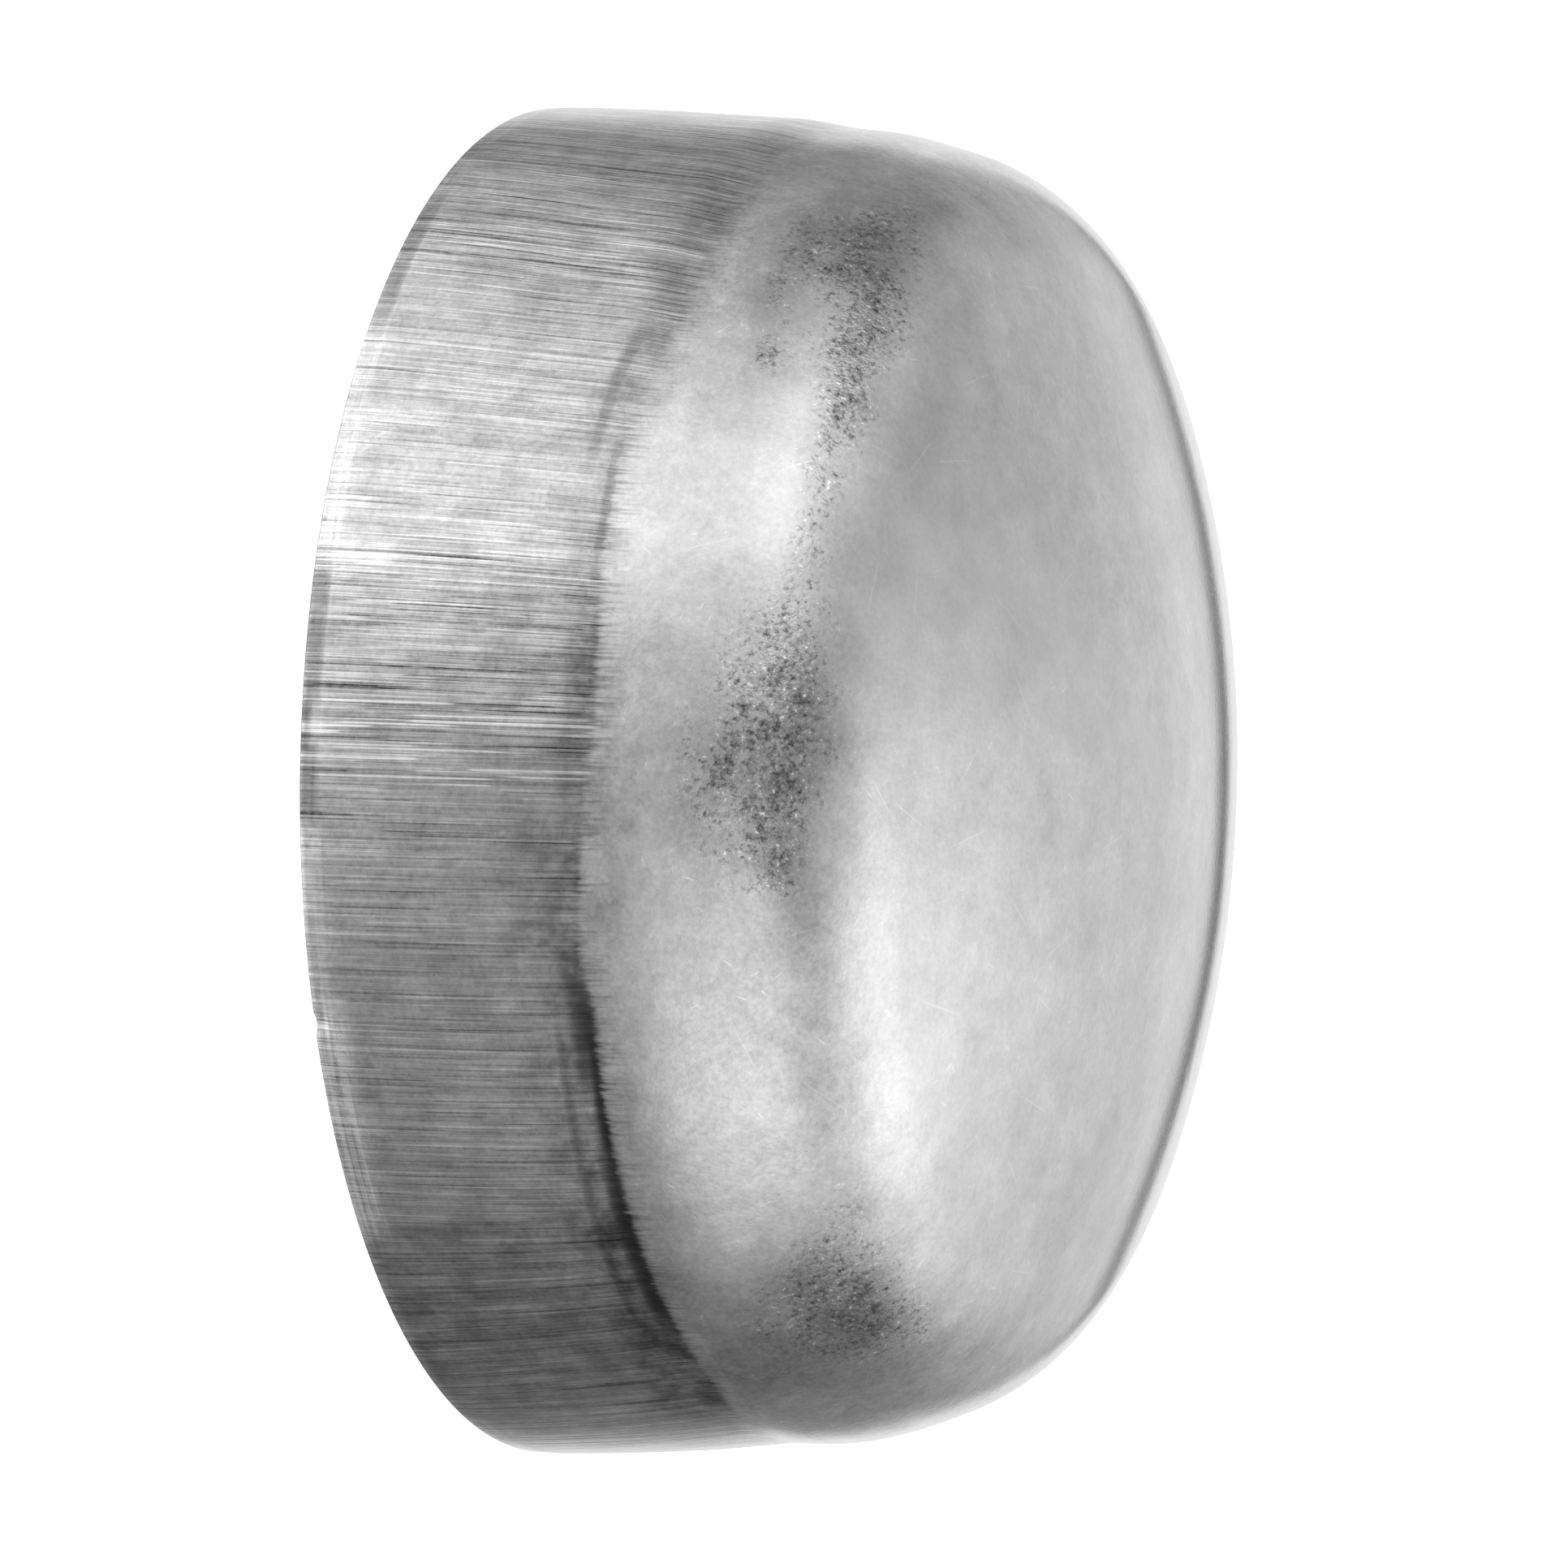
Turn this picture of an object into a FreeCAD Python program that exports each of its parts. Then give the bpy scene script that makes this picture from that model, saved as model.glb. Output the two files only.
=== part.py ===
# Butt weld cap: a short skirt that ends in a dished crown, pressed from stainless plate in one piece.
# The weld end's face lies on the XY plane, the open side looks down and the axis is +Z.
# All lengths are millimetres.

import FreeCAD, Part

import math
import os

import Sketcher

# Driving dimensions
SIZES = {
    # the weld end
    "outside_dia": 76.1,    # over the skirt, just inside the weld end
    "wall": 2.9,            # plate thickness
    "band_height": 1.2,     # turned band round the weld end's outer edge
    "band_drop": 0.1,       # how far the band's radius falls towards the face
    "land_depth": 6.0,      # straight bore inside the weld end
    "edge_break": 0.3,      # chamfer on the bore's edge
    # the skirt, ground outside, and the waist that the grinding leaves below the dome
    "skirt_height": 17.0,   # weld face to waist
    "waist_drop": 1.22,     # how far the radius falls from the weld end to the waist
    "skirt_rad": 160.0,     # slight barrel of the skirt's outside, seen in section
    "waist_rad": 35.0,      # hollow of the waist, seen in section
    # the dome, by the arcs of its outside
    "dome_height": 19.4,    # waist to the top of the crown
    "shoulder_rise": 2.0,   # waist above the level where the shoulder's arc would be widest
    "shoulder_rad": 25.5,   # shallow arc that leaves the waist
    "knuckle_rad": 11.0,    # tight arc between shoulder and crown
    "crown_rad": 73.6,      # spherical crown
}

NODE = "weld_cap"


def fill_sheet(doc, sizes):
    """Puts the driving dimensions in a spreadsheet, one row each: name, value."""
    sheet = doc.addObject("Spreadsheet::Sheet", "Sizes")
    for row, (name, value) in enumerate(sizes.items(), start=1):
        sheet.set(f"A{row}", name)
        sheet.set(f"B{row}", str(value))
        sheet.setAlias(f"B{row}", name)
    doc.recompute()
    return sheet


def tangent_centre(first, first_reach, second, second_reach, side):
    """The point at two given distances from two centres; side picks which of the two such points."""
    gap = second - first
    along = (gap.Length**2 + first_reach**2 - second_reach**2) / (2 * gap.Length)
    across = math.sqrt(first_reach**2 - along**2)
    unit = gap / gap.Length
    return first + unit * along + FreeCAD.Vector(-unit.y, unit.x, 0) * across * side


def arc(centre, start, end):
    """A counter-clockwise arc between two points at the same distance from its centre."""
    circle = Part.Circle(centre, FreeCAD.Vector(0, 0, 1), (start - centre).Length)
    start_angle = math.atan2(start.y - centre.y, start.x - centre.x)
    end_angle = math.atan2(end.y - centre.y, end.x - centre.x)
    return Part.ArcOfCircle(circle, start_angle, end_angle)


def from_centre(centre, towards, reach):
    """The point at a distance from a centre, on the line towards another point."""
    return centre + (towards - centre) / (towards - centre).Length * reach


def lay_out_section(sizes):
    """The half section's lines and arcs, by name: x is the radius and y the height."""
    at = FreeCAD.Vector
    rim = sizes["outside_dia"] / 2
    top = sizes["skirt_height"] + sizes["dome_height"]
    wall = sizes["wall"]

    # centres of the dome's arcs, from the waist up to the crown
    waist = at(rim - sizes["waist_drop"], sizes["skirt_height"], 0)
    reach = math.sqrt(sizes["shoulder_rad"] ** 2 - sizes["shoulder_rise"] ** 2)
    shoulder_mid = at(waist.x - reach, waist.y - sizes["shoulder_rise"], 0)
    crown_mid = at(0, top - sizes["crown_rad"], 0)
    knuckle_mid = tangent_centre(
        crown_mid, sizes["crown_rad"] - sizes["knuckle_rad"],
        shoulder_mid, sizes["shoulder_rad"] - sizes["knuckle_rad"], -1)

    # centres of the hollow at the waist, outside the cap, and of the skirt's long arc
    waist_mid = from_centre(shoulder_mid, waist, sizes["shoulder_rad"] + sizes["waist_rad"])
    band_top = at(rim, sizes["band_height"], 0)
    skirt_mid = tangent_centre(
        band_top, sizes["skirt_rad"],
        waist_mid, sizes["skirt_rad"] + sizes["waist_rad"], 1)

    # where the outside's arcs meet
    skirt_top = from_centre(skirt_mid, waist_mid, sizes["skirt_rad"])
    shoulder_top = from_centre(shoulder_mid, knuckle_mid, sizes["shoulder_rad"])
    knuckle_top = from_centre(crown_mid, knuckle_mid, sizes["crown_rad"])
    crown_top = at(0, top, 0)

    # the inside lies one wall in from the dome's outside, and runs down to the straight bore
    inner_top = at(0, top - wall, 0)
    inner_knuckle_top = from_centre(crown_mid, knuckle_mid, sizes["crown_rad"] - wall)
    inner_shoulder_top = from_centre(shoulder_mid, knuckle_mid, sizes["shoulder_rad"] - wall)
    land_top = at(rim - wall, sizes["land_depth"], 0)
    inner_rad = sizes["shoulder_rad"] - wall
    sight = land_top - shoulder_mid
    cone_angle = math.atan2(sight.y, sight.x) + math.acos(inner_rad / sight.Length)
    inner_shoulder_foot = shoulder_mid + at(math.cos(cone_angle), math.sin(cone_angle), 0) * inner_rad
    face_out = at(rim - sizes["band_drop"], 0, 0)
    face_in = at(rim - wall, 0, 0)

    return {
        "band": Part.LineSegment(face_out, band_top),
        "skirt": arc(skirt_mid, band_top, skirt_top),
        "waist": arc(waist_mid, waist, skirt_top),
        "shoulder": arc(shoulder_mid, waist, shoulder_top),
        "knuckle": arc(knuckle_mid, shoulder_top, knuckle_top),
        "crown": arc(crown_mid, knuckle_top, crown_top),
        "axis": Part.LineSegment(crown_top, inner_top),
        "crown_in": arc(crown_mid, inner_knuckle_top, inner_top),
        "knuckle_in": arc(knuckle_mid, inner_shoulder_top, inner_knuckle_top),
        "shoulder_in": arc(shoulder_mid, inner_shoulder_foot, inner_shoulder_top),
        "cone": Part.LineSegment(inner_shoulder_foot, land_top),
        "land": Part.LineSegment(land_top, face_in),
        "face": Part.LineSegment(face_in, face_out),
    }


def draw_section(sketch, sizes):
    """Draws the half section and ties it to the sheet."""
    START, END, CENTRE = 1, 2, 3
    ORIGIN = (-1, 1)
    UPRIGHT = -2
    section = lay_out_section(sizes)
    line = {name: sketch.addGeometry(shape, False) for name, shape in section.items()}

    def tie(kind, *ends):
        return sketch.addConstraint(Sketcher.Constraint(kind, *ends))

    def dimension(name, expression, kind, *ends):
        index = tie(kind, *ends)
        sketch.renameConstraint(index, name)
        sketch.setExpression(f"Constraints.{name}", expression)

    def radius(of, expression):
        dimension(f"{of}_radius", expression, "Radius", line[of], section[of].Radius)

    # the outside, from the weld end to the top of the crown
    tie("Coincident", line["band"], END, line["skirt"], START)
    tie("Tangent", line["skirt"], END, line["waist"], END)
    tie("Tangent", line["waist"], START, line["shoulder"], START)
    tie("Tangent", line["shoulder"], END, line["knuckle"], START)
    tie("Tangent", line["knuckle"], END, line["crown"], START)
    tie("Coincident", line["crown"], END, line["axis"], START)
    tie("PointOnObject", line["crown"], CENTRE, UPRIGHT)
    tie("PointOnObject", line["crown"], END, UPRIGHT)
    tie("PointOnObject", line["axis"], END, UPRIGHT)

    # the inside, on the same centres as the dome's outside
    for name in ("crown", "knuckle", "shoulder"):
        tie("Coincident", line[f"{name}_in"], CENTRE, line[name], CENTRE)
    tie("Coincident", line["axis"], END, line["crown_in"], END)
    tie("Tangent", line["crown_in"], START, line["knuckle_in"], END)
    tie("Tangent", line["knuckle_in"], START, line["shoulder_in"], END)
    tie("Tangent", line["shoulder_in"], START, line["cone"], START)
    tie("Coincident", line["cone"], END, line["land"], START)
    tie("Vertical", line["land"])
    tie("Coincident", line["land"], END, line["face"], START)
    tie("Horizontal", line["face"])
    tie("Coincident", line["face"], END, line["band"], START)

    # radii, which come from the sheet
    radius("skirt", "Sizes.skirt_rad")
    radius("waist", "Sizes.waist_rad")
    radius("shoulder", "Sizes.shoulder_rad")
    radius("knuckle", "Sizes.knuckle_rad")
    radius("crown", "Sizes.crown_rad")

    # places, measured from the centre of the weld end's face
    face_in = section["face"].StartPoint
    face_out = section["face"].EndPoint
    band_top = section["band"].EndPoint
    waist = section["shoulder"].StartPoint
    crown_top = section["axis"].StartPoint
    dimension("face_out", "Sizes.outside_dia / 2 - Sizes.band_drop",
              "DistanceX", *ORIGIN, line["face"], END, face_out.x)
    dimension("face_in", "Sizes.outside_dia / 2 - Sizes.wall",
              "DistanceX", *ORIGIN, line["face"], START, face_in.x)
    tie("PointOnObject", line["face"], START, -1)
    dimension("band_across", "Sizes.outside_dia / 2",
              "DistanceX", *ORIGIN, line["band"], END, band_top.x)
    dimension("band_up", "Sizes.band_height",
              "DistanceY", *ORIGIN, line["band"], END, band_top.y)
    dimension("waist_across", "Sizes.outside_dia / 2 - Sizes.waist_drop",
              "DistanceX", *ORIGIN, line["shoulder"], START, waist.x)
    dimension("waist_up", "Sizes.skirt_height",
              "DistanceY", *ORIGIN, line["shoulder"], START, waist.y)
    dimension("shoulder_below", "Sizes.shoulder_rise",
              "DistanceY", line["shoulder"], CENTRE, line["shoulder"], START, sizes["shoulder_rise"])
    dimension("top", "Sizes.skirt_height + Sizes.dome_height",
              "DistanceY", *ORIGIN, line["axis"], START, crown_top.y)
    dimension("crown_wall", "Sizes.wall",
              "DistanceY", line["axis"], END, line["axis"], START, sizes["wall"])
    dimension("land_up", "Sizes.land_depth",
              "DistanceY", line["land"], END, line["land"], START, sizes["land_depth"])


def origin_plane(body, role):
    """One of a body's own origin planes."""
    return next(part for part in body.Origin.OriginFeatures if part.Role == role)


def bore_edge(shape, bore_rad):
    """Name of the round edge where the bore meets the weld end's face."""
    near = 1e-4
    for number, edge in enumerate(shape.Edges, start=1):
        if edge.Degenerated or not isinstance(edge.Curve, Part.Circle):
            continue
        circle = edge.Curve
        if abs(circle.Radius - bore_rad) < near and abs(circle.Center.z) < near:
            return f"Edge{number}"
    raise RuntimeError("the bore's edge was not found")


def make_cap(doc, sizes):
    """The cap: the half section turned once round the axis, with the bore's edge broken."""
    body = doc.addObject("PartDesign::Body", "WeldCap")
    body.Label = NODE

    sketch = body.newObject("Sketcher::SketchObject", "HalfSection")
    sketch.AttachmentSupport = [(origin_plane(body, "XZ_Plane"), "")]
    sketch.MapMode = "FlatFace"
    draw_section(sketch, sizes)
    doc.recompute()

    shell = body.newObject("PartDesign::Revolution", "Shell")
    shell.Profile = sketch
    shell.ReferenceAxis = (sketch, ["V_Axis"])
    shell.Angle = 360
    doc.recompute()

    edge = bore_edge(shell.Shape, sizes["outside_dia"] / 2 - sizes["wall"])
    broken_edge = body.newObject("PartDesign::Chamfer", "BoreEdge")
    broken_edge.Base = (shell, [edge])
    broken_edge.setExpression("Size", "Sizes.edge_break")
    doc.recompute()

    sketch.Visibility = False
    body.Placement = FreeCAD.Placement()
    return body


def check(doc, bodies):
    """Stops if any object failed, or if any body's shape isn't one sound solid."""
    for obj in doc.Objects:
        if "Invalid" in obj.State or "Error" in obj.State:
            raise RuntimeError(f"{obj.Name} failed: {obj.State}")
    for body in bodies:
        if body.Shape.isNull() or not body.Shape.isValid():
            raise RuntimeError(f"{body.Label} has no valid shape")
        if len(body.Shape.Solids) != 1:
            raise RuntimeError(f"{body.Label} isn't one solid")


def main():
    doc = FreeCAD.newDocument("butt_weld_cap")
    fill_sheet(doc, SIZES)
    bodies = [make_cap(doc, SIZES)]
    doc.recompute()
    check(doc, bodies)

    os.makedirs("parts", exist_ok=True)
    for body in bodies:
        body.Shape.exportStep(f"parts/{body.Label}.step")
        box = body.Shape.optimalBoundingBox()
        print(f"{body.Label}: {box.XLength:.2f} x {box.YLength:.2f} x {box.ZLength:.2f} mm,"
              f" volume {body.Shape.Volume:.0f} mm3")


main()
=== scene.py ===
"""A butt weld cap in stainless steel: its shell, finishes and studio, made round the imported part."""

import math
from functools import partial

import bpy
import numpy as np
from bpy.props import FloatProperty, FloatVectorProperty, IntProperty, PointerProperty
from mathutils import Matrix, Vector


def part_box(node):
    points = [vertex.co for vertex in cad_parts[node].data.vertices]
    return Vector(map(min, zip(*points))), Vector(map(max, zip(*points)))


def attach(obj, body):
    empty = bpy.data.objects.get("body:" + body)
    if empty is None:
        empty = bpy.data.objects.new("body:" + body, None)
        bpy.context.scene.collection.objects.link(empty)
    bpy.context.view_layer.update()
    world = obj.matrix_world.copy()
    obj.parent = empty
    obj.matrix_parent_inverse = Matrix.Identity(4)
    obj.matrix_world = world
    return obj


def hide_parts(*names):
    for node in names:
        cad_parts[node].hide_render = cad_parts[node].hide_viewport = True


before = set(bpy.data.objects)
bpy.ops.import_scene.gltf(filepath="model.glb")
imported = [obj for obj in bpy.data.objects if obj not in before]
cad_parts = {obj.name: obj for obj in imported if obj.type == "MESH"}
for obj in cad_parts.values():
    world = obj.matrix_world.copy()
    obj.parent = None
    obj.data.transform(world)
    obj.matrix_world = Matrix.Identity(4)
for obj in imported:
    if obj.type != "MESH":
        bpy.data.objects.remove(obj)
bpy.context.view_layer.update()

bl_info = {
    "name": "Butt weld cap",
    "version": (1, 0, 0),
    "blender": (4, 5, 0),
    "location": "3D View > Sidebar > Weld Cap",
    "description": "Turns, grinds and blasts the shell of a butt weld cap and sets its studio",
    "category": "Object",
}

MM = 0.001
RIM_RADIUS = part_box("weld_cap")[1].x
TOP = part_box("weld_cap")[1].z

# The edge of the grinding, as angle round the axis in degrees and height in mm. The belt wandered.
GRIND_EDGE = (
    (-171.5, 17.37), (-153.8, 17.15), (-133.2, 17.44), (-125, 16.52), (-117.8, 16.15), (-111.8, 16.12),
    (-107.5, 16.06), (-100.8, 16.25), (-94, 16.38), (-88.8, 15.78), (-82.2, 15.48), (-75.5, 15.20),
    (-71.2, 15.76), (-65, 15.66), (-58, 15.56), (-48.5, 15.57), (-39.2, 15.81), (-28.8, 16.05),
    (-9.2, 15.49), (20, 15.70), (50, 16.30), (80, 15.90), (110, 16.40), (140, 16.90), (165, 17.30),
)
EDGE_ROW = 16.0     # mm, the height of the ring of points that is moved to the edge of the grinding
EDGE_ZONE = (-1.1, 2.1)     # mm, how far below and above its edge the grinding and the blasting mix

# Grooves that the belt's edge dug beside that edge: first and last angle and the run-out at both
# ends in degrees, then place below the edge, half width and depth in mm.
# the deeper ones also get darker dirt and painted shade in them
BELT_GROOVES = (
    (-73, -63.5, 2.6, 0.80, 0.74, 0.098),
    (-68, -57, 2, 0.52, 0.36, 0.080),
    (-59, -38, 3, 0.66, 0.48, 0.070),
    (-70, -36, 4, 2.20, 0.28, 0.018),
    (-119, -107, 3, 0.45, 0.30, 0.022),
    (-130, -117, 3, 1.70, 0.35, 0.020),
    (15, 48, 6, 0.55, 0.28, 0.030),
    (118, 150, 6, 0.70, 0.25, 0.020),
)

# Painted shade on the ground steel below that edge, under the dome's edge: first and last angle and run-out
# in degrees, strength, and how far down it fades in mm.
EDGE_STAINS = (
    (-106, -84, 4, 0.85, 2.8), (-86, -52, 4, 1.00, 6), (-54, -20, 4, 1.25, 6.5),
    (-150, -120, 5, 0.32, 3.5), (30, 80, 10, 0.60, 5.5), (110, 140, 8, 0.50, 4),
)

# Where the belt left a dull streak over the whole skirt: first and last angle, run-out, and strength.
DULL_PASSES = ((-51.6, -45.2, 1.2, 0.42), (-44, -27, 4, 0.42))

# Where the turned band is painted darker, as painted shade: first and last angle, run-out, height of the
# painted part in mm, and strength. Less than 0 is brighter, a painted highlight.
BAND_STAINS = (
    (-108, -95.8, 3, 1.2, 0.48), (-96, -92.5, 0.8, 0.6, 0.48), (-93, -86.5, 0.8, 1.2, 0.48),
    (-146, -130, 5, 1.2, 0.48), (60, 95, 5, 1, 0.48), (-84, -48, 4, 1.5, -0.20),
    (-71, -49.5, 3, 2.1, -0.75), (-54, -12, 5, 0.5, -0.40),
)

# Where the belt bore hard, so that its marks are strong and cross the band: first and last angle,
# run-out.
HEAVY_PASSES = ((-98, -89.5, 1.5), (40, 52, 3), (128, 139, 3))

# Where the belt wore the band's edge away: first and last angle, run-out.
WORN_BAND = (-93, -8, 3)

BAND_STEP = 0.008   # mm, how far the turned band lies below the ground skirt
NICK = (-70, 0.6031, 0.16)    # in the band's corner: angle and half width in degrees, depth in mm

# How strong the belt's marks are, as angle in degrees and strength.
BELT_BEARING = (
    (-170, 1.05), (-150, 1.20), (-138, 1.25), (-128, 0.68), (-116, 0.55), (-108, 1.20), (-96, 1.30),
    (-88, 0.95), (-76, 0.72), (-55, 0.75), (-42, 0.95), (-20, 1), (30, 0.90), (90, 1.10), (150, 0.85),
)

# How much the belt's marks lean, as angle in degrees and turn round the axis in degrees per mm of
# height.
BELT_LEAN = (
    (-170, 0.21), (-145, 0.21), (-137, 0.17), (-120, 0.10), (-95, 0.03), (-80, 0.03), (-66, 0.06),
    (-52, 0.06), (-36, -0.13), (-10, -0.10), (60, 0.05), (130, 0.12),
)

# How much darker the blasting beside the grinding is, as angle in degrees and share: wear, and painted shade
# that changes round the cap.
WORN_SATIN = (
    (-170, 0.22), (-150, 0.26), (-132, 0.22), (-124, 0.12), (-112, 0.06), (-104, 0.12), (-96, 0.04),
    (-90, 0.17), (-79, 0.20), (-70, 0.08), (-60, 0.10), (-52, 0.04), (-40, 0.08), (-20, 0.12),
    (60, 0.15), (150, 0.18),
)

# Where the blasting came out even and clean: first and last angle, run-out, and share.
CLEAN_SATIN = (-131, -101, 9, 0.32)

# How much height a mm along the section takes, as heights in mm and shares: the dome lies flatter
# towards its top.
DOME_SLOPE = ((17, 24.2, 30), (1, 0.95, 0.55))

# Patches of the shoulder that the press left rough and dark: angle and height of the middle in
# degrees and mm, half length round the cap and half width across it in mm, and strength.
ROUGH_PATCHES = (
    (-142.5, 23, 5.5, 3, 0.24), (-144, 21.8, 2.6, 1.6, 0.58), (-148.5, 25, 3.4, 1.8, 0.56),
    (-142, 24.3, 1.9, 1.1, 1.20), (-138, 26.3, 2.5, 1.2, 1.25), (-132.5, 25.9, 2.1, 1.2, 1.30),
    (-137, 20.7, 1.3, 0.9, 0.45), (-129.6, 21.8, 1.2, 0.8, 0.80), (-131.5, 23.6, 2.6, 1.8, 0.14),
    (-126, 26.3, 2.3, 1.2, 1.00), (-119, 26, 2.4, 1.2, 0.36), (-111, 26.2, 2.6, 1.3, 0.35),
    (-103.5, 25.4, 2.4, 1.9, 0.62), (-95, 24.6, 3, 2.8, 0.98), (-97.5, 25.8, 1.8, 1.3, 0.9),
    (-91.8, 25.6, 2.2, 1.6, 0.85), (-90.2, 23.4, 2.2, 2.1, 0.76), (-86.5, 25.6, 2.2, 1.3, 0.85),
    (-82.5, 25.8, 1.2, 0.9, 0.7), (-103, 22, 2.2, 1.6, 0.16), (-84, 23, 2.4, 1.9, 0.25),
    (-48.2, 26.6, 2, 1.3, 0.42), (-41, 25.4, 3.2, 2.2, 0.55), (-34.5, 25, 3.8, 2.6, 0.78),
    (-37, 20.8, 2.4, 1.6, 0.40), (-35.5, 25.4, 1.6, 1, 0.9), (-40.2, 23.6, 2.4, 1.6, 0.55),
    (-30, 27, 2.4, 1.3, 0.50), (12, 25.2, 3, 2, 0.7), (18, 27, 2, 1.4, 0.5), (58, 26.2, 3.2, 1.8, 0.8),
    (66, 24, 2, 1.4, 0.4), (104, 25.4, 2.8, 1.8, 0.7), (112, 27, 2.2, 1.3, 0.6), (158, 25, 3, 2, 0.7),
)

# Soft painted highlights and painted shade on the blasting: angle and height of the middle in degrees and
# mm, half length round the cap and half width across it in mm, and how much brighter; less than 0 is darker.
SATIN_CLOUDS = (
    (-151, 28.4, 6, 2.6, 0.30), (-134, 24.6, 5, 2.6, 0.56), (-98, 22.3, 2.6, 2.6, 0.28),
    (-74, 19.8, 7.5, 1.7, 0.30), (-49.5, 26.4, 4.2, 2.4, 0.28), (-47.5, 21, 3.6, 2.6, 0.34),
    (-34, 28, 3.5, 1.8, 0.22), (-32, 20.4, 4.6, 3.8, -0.30), (22, 21.5, 7, 3, 0.20),
    (84, 23, 8, 3, -0.15), (150, 21, 7, 2.6, 0.20),
)

# Fine unevenness by the crown's far edge: heights in mm between which it comes and between which
# it goes, first and last angle and run-out in degrees, and size and depth of its bumps in mm.
FAR_BUMPS = (31.0, 32.0, 33.3, 34.3, (35.0, 145.0, 20.0), 1.8, 0.008)

# The press left the dome a little askew: from its foot, which lies this far below the waist in mm,
# it is tilted and leans by these shares, and its foot is pushed aside by the last number, in mm.
ASKEW = (1.27, -0.0163, 0.0217, 0.28)

# The studio's soft lights, as name, azimuth and elevation in degrees, half width in degrees and
# strength. Azimuth 0 is along +X and -90 is the camera's side. The lower ones light the cap's
# skirt, as a bright table does.
SOFT_LIGHTS = (
    ("key box", -139.1, 23.6, 16.3, 2.52),
    ("camera side card", -71.1, 21.0, 13.9, 1.34),
    ("side box", -32.4, 14.9, 13.8, 1.90),
    ("top box", 30.2, 64.0, 22.8, 1.98),
    ("back wall", 94.5, 10.1, 25.9, 0.92),
    ("high fill", -177.9, 50.8, 16.7, 0.60),
    ("table by the key box", -139.2, -31.9, 18.6, 3.15),
    ("table in front", -85.8, -54.5, 20.3, 2.20),
    ("table beyond the key box", 173.2, -34.7, 14.6, 2.26),
)
# The far end of the white table: azimuth, elevation, half width and softness of its rim in
# degrees, and level.
FAR_TABLE = (93.5, -14.0, 27.0, 6.0, 0.94)
# The dark gaps behind it: azimuth and half width, elevations where each starts and is full, then
# where it starts to end and ends, all in degrees, and how much darker it is.
HORIZON_GAPS = (
    (88.0, 14.0, -4.6, -2.6, 0.2, 5.0, 0.72),
    (104.0, 17.0, -5.0, -2.5, 8.0, 20.0, 0.25),
)
SKY_LEVEL = 0.22

# The camera circles a point on the axis, at this height in mm, and looks at another, also in mm. Its
# roll in degrees lays the cap's axis nearly straight across the picture.
ORBIT_HEIGHT = 17.1225
CAMERA_AIM = (0.088, -1.238, 13.679)
CAMERA_ROLL = -0.5443


def linear(code):
    """An sRGB hex colour, such as "C8C8C8", as a linear colour with full alpha."""
    levels = [int(code[i:i + 2], 16) / 255 for i in (0, 2, 4)]
    return tuple(v / 12.92 if v <= 0.04045 else ((v + 0.055) / 1.055) ** 2.4 for v in levels) + (1.0,)


def length(name, description, millimetres):
    """A length that a user can change."""
    return FloatProperty(name=name, description=description, default=millimetres * MM,
                         min=0.0, subtype="DISTANCE", unit="LENGTH", precision=5)


def tone(name, description, code):
    """A colour that a user can change."""
    return FloatVectorProperty(name=name, description=description, default=linear(code), size=4,
                               min=0.0, max=1.0, subtype="COLOR")


def share(name, description, value):
    """A share from 0 to 1 that a user can change."""
    return FloatProperty(name=name, description=description, default=value, min=0.0, max=1.0,
                         subtype="FACTOR")


class WeldCapSizes(bpy.types.PropertyGroup):
    """Sizes of the cap's shell"""

    rim_radius: length("Rim radius", "Outside radius at the top of the turned band", RIM_RADIUS / MM)
    top: length("Length", "Height from the weld end to the top of the crown", TOP / MM)
    wall: length("Wall", "Plate thickness", 2.9)
    band_height: length("Band height", "Height of the turned band round the weld end", 1.2)
    band_drop: length("Band drop", "How far the band's radius falls towards the end face", 0.04)
    skirt_height: length("Skirt height", "Height of the waist below the dome", 17.0)
    waist_drop: length("Waist drop", "How far the radius falls from the rim to the waist", 1.22)
    skirt_arc: length("Skirt arc", "Radius of the skirt's slight barrel, in section", 160.0)
    waist_arc: length("Waist arc", "Radius of the waist's hollow, in section", 35.0)
    shoulder_arc: length("Shoulder arc", "Radius of the shoulder, in section", 25.5)
    shoulder_rise: length("Shoulder rise", "Height of the waist above the shoulder arc's centre", 2.0)
    knuckle_arc: length("Knuckle arc", "Radius of the knuckle, in section", 11.0)
    crown_arc: length("Crown arc", "Radius of the crown", 73.6)
    land_depth: length("Land depth", "Depth of the straight bore inside the weld end", 6.0)
    edge_break: length("Edge break", "Chamfer on the edge of the bore", 0.3)
    corner: length("Corner", "Small radius on the band's outer corner", 0.12)
    grind_step: length("Grinding step", "How far the belt went below the dome at its edge", 0.02)
    belt_wave: length("Belt wave", "Unevenness that the belt left round the skirt", 0.012)
    press_wave: length("Press wave", "Unevenness that the press left in the dome", 0.02)
    around: IntProperty(name="Steps round", description="Faces round the axis", default=512, min=64, max=512)


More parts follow.
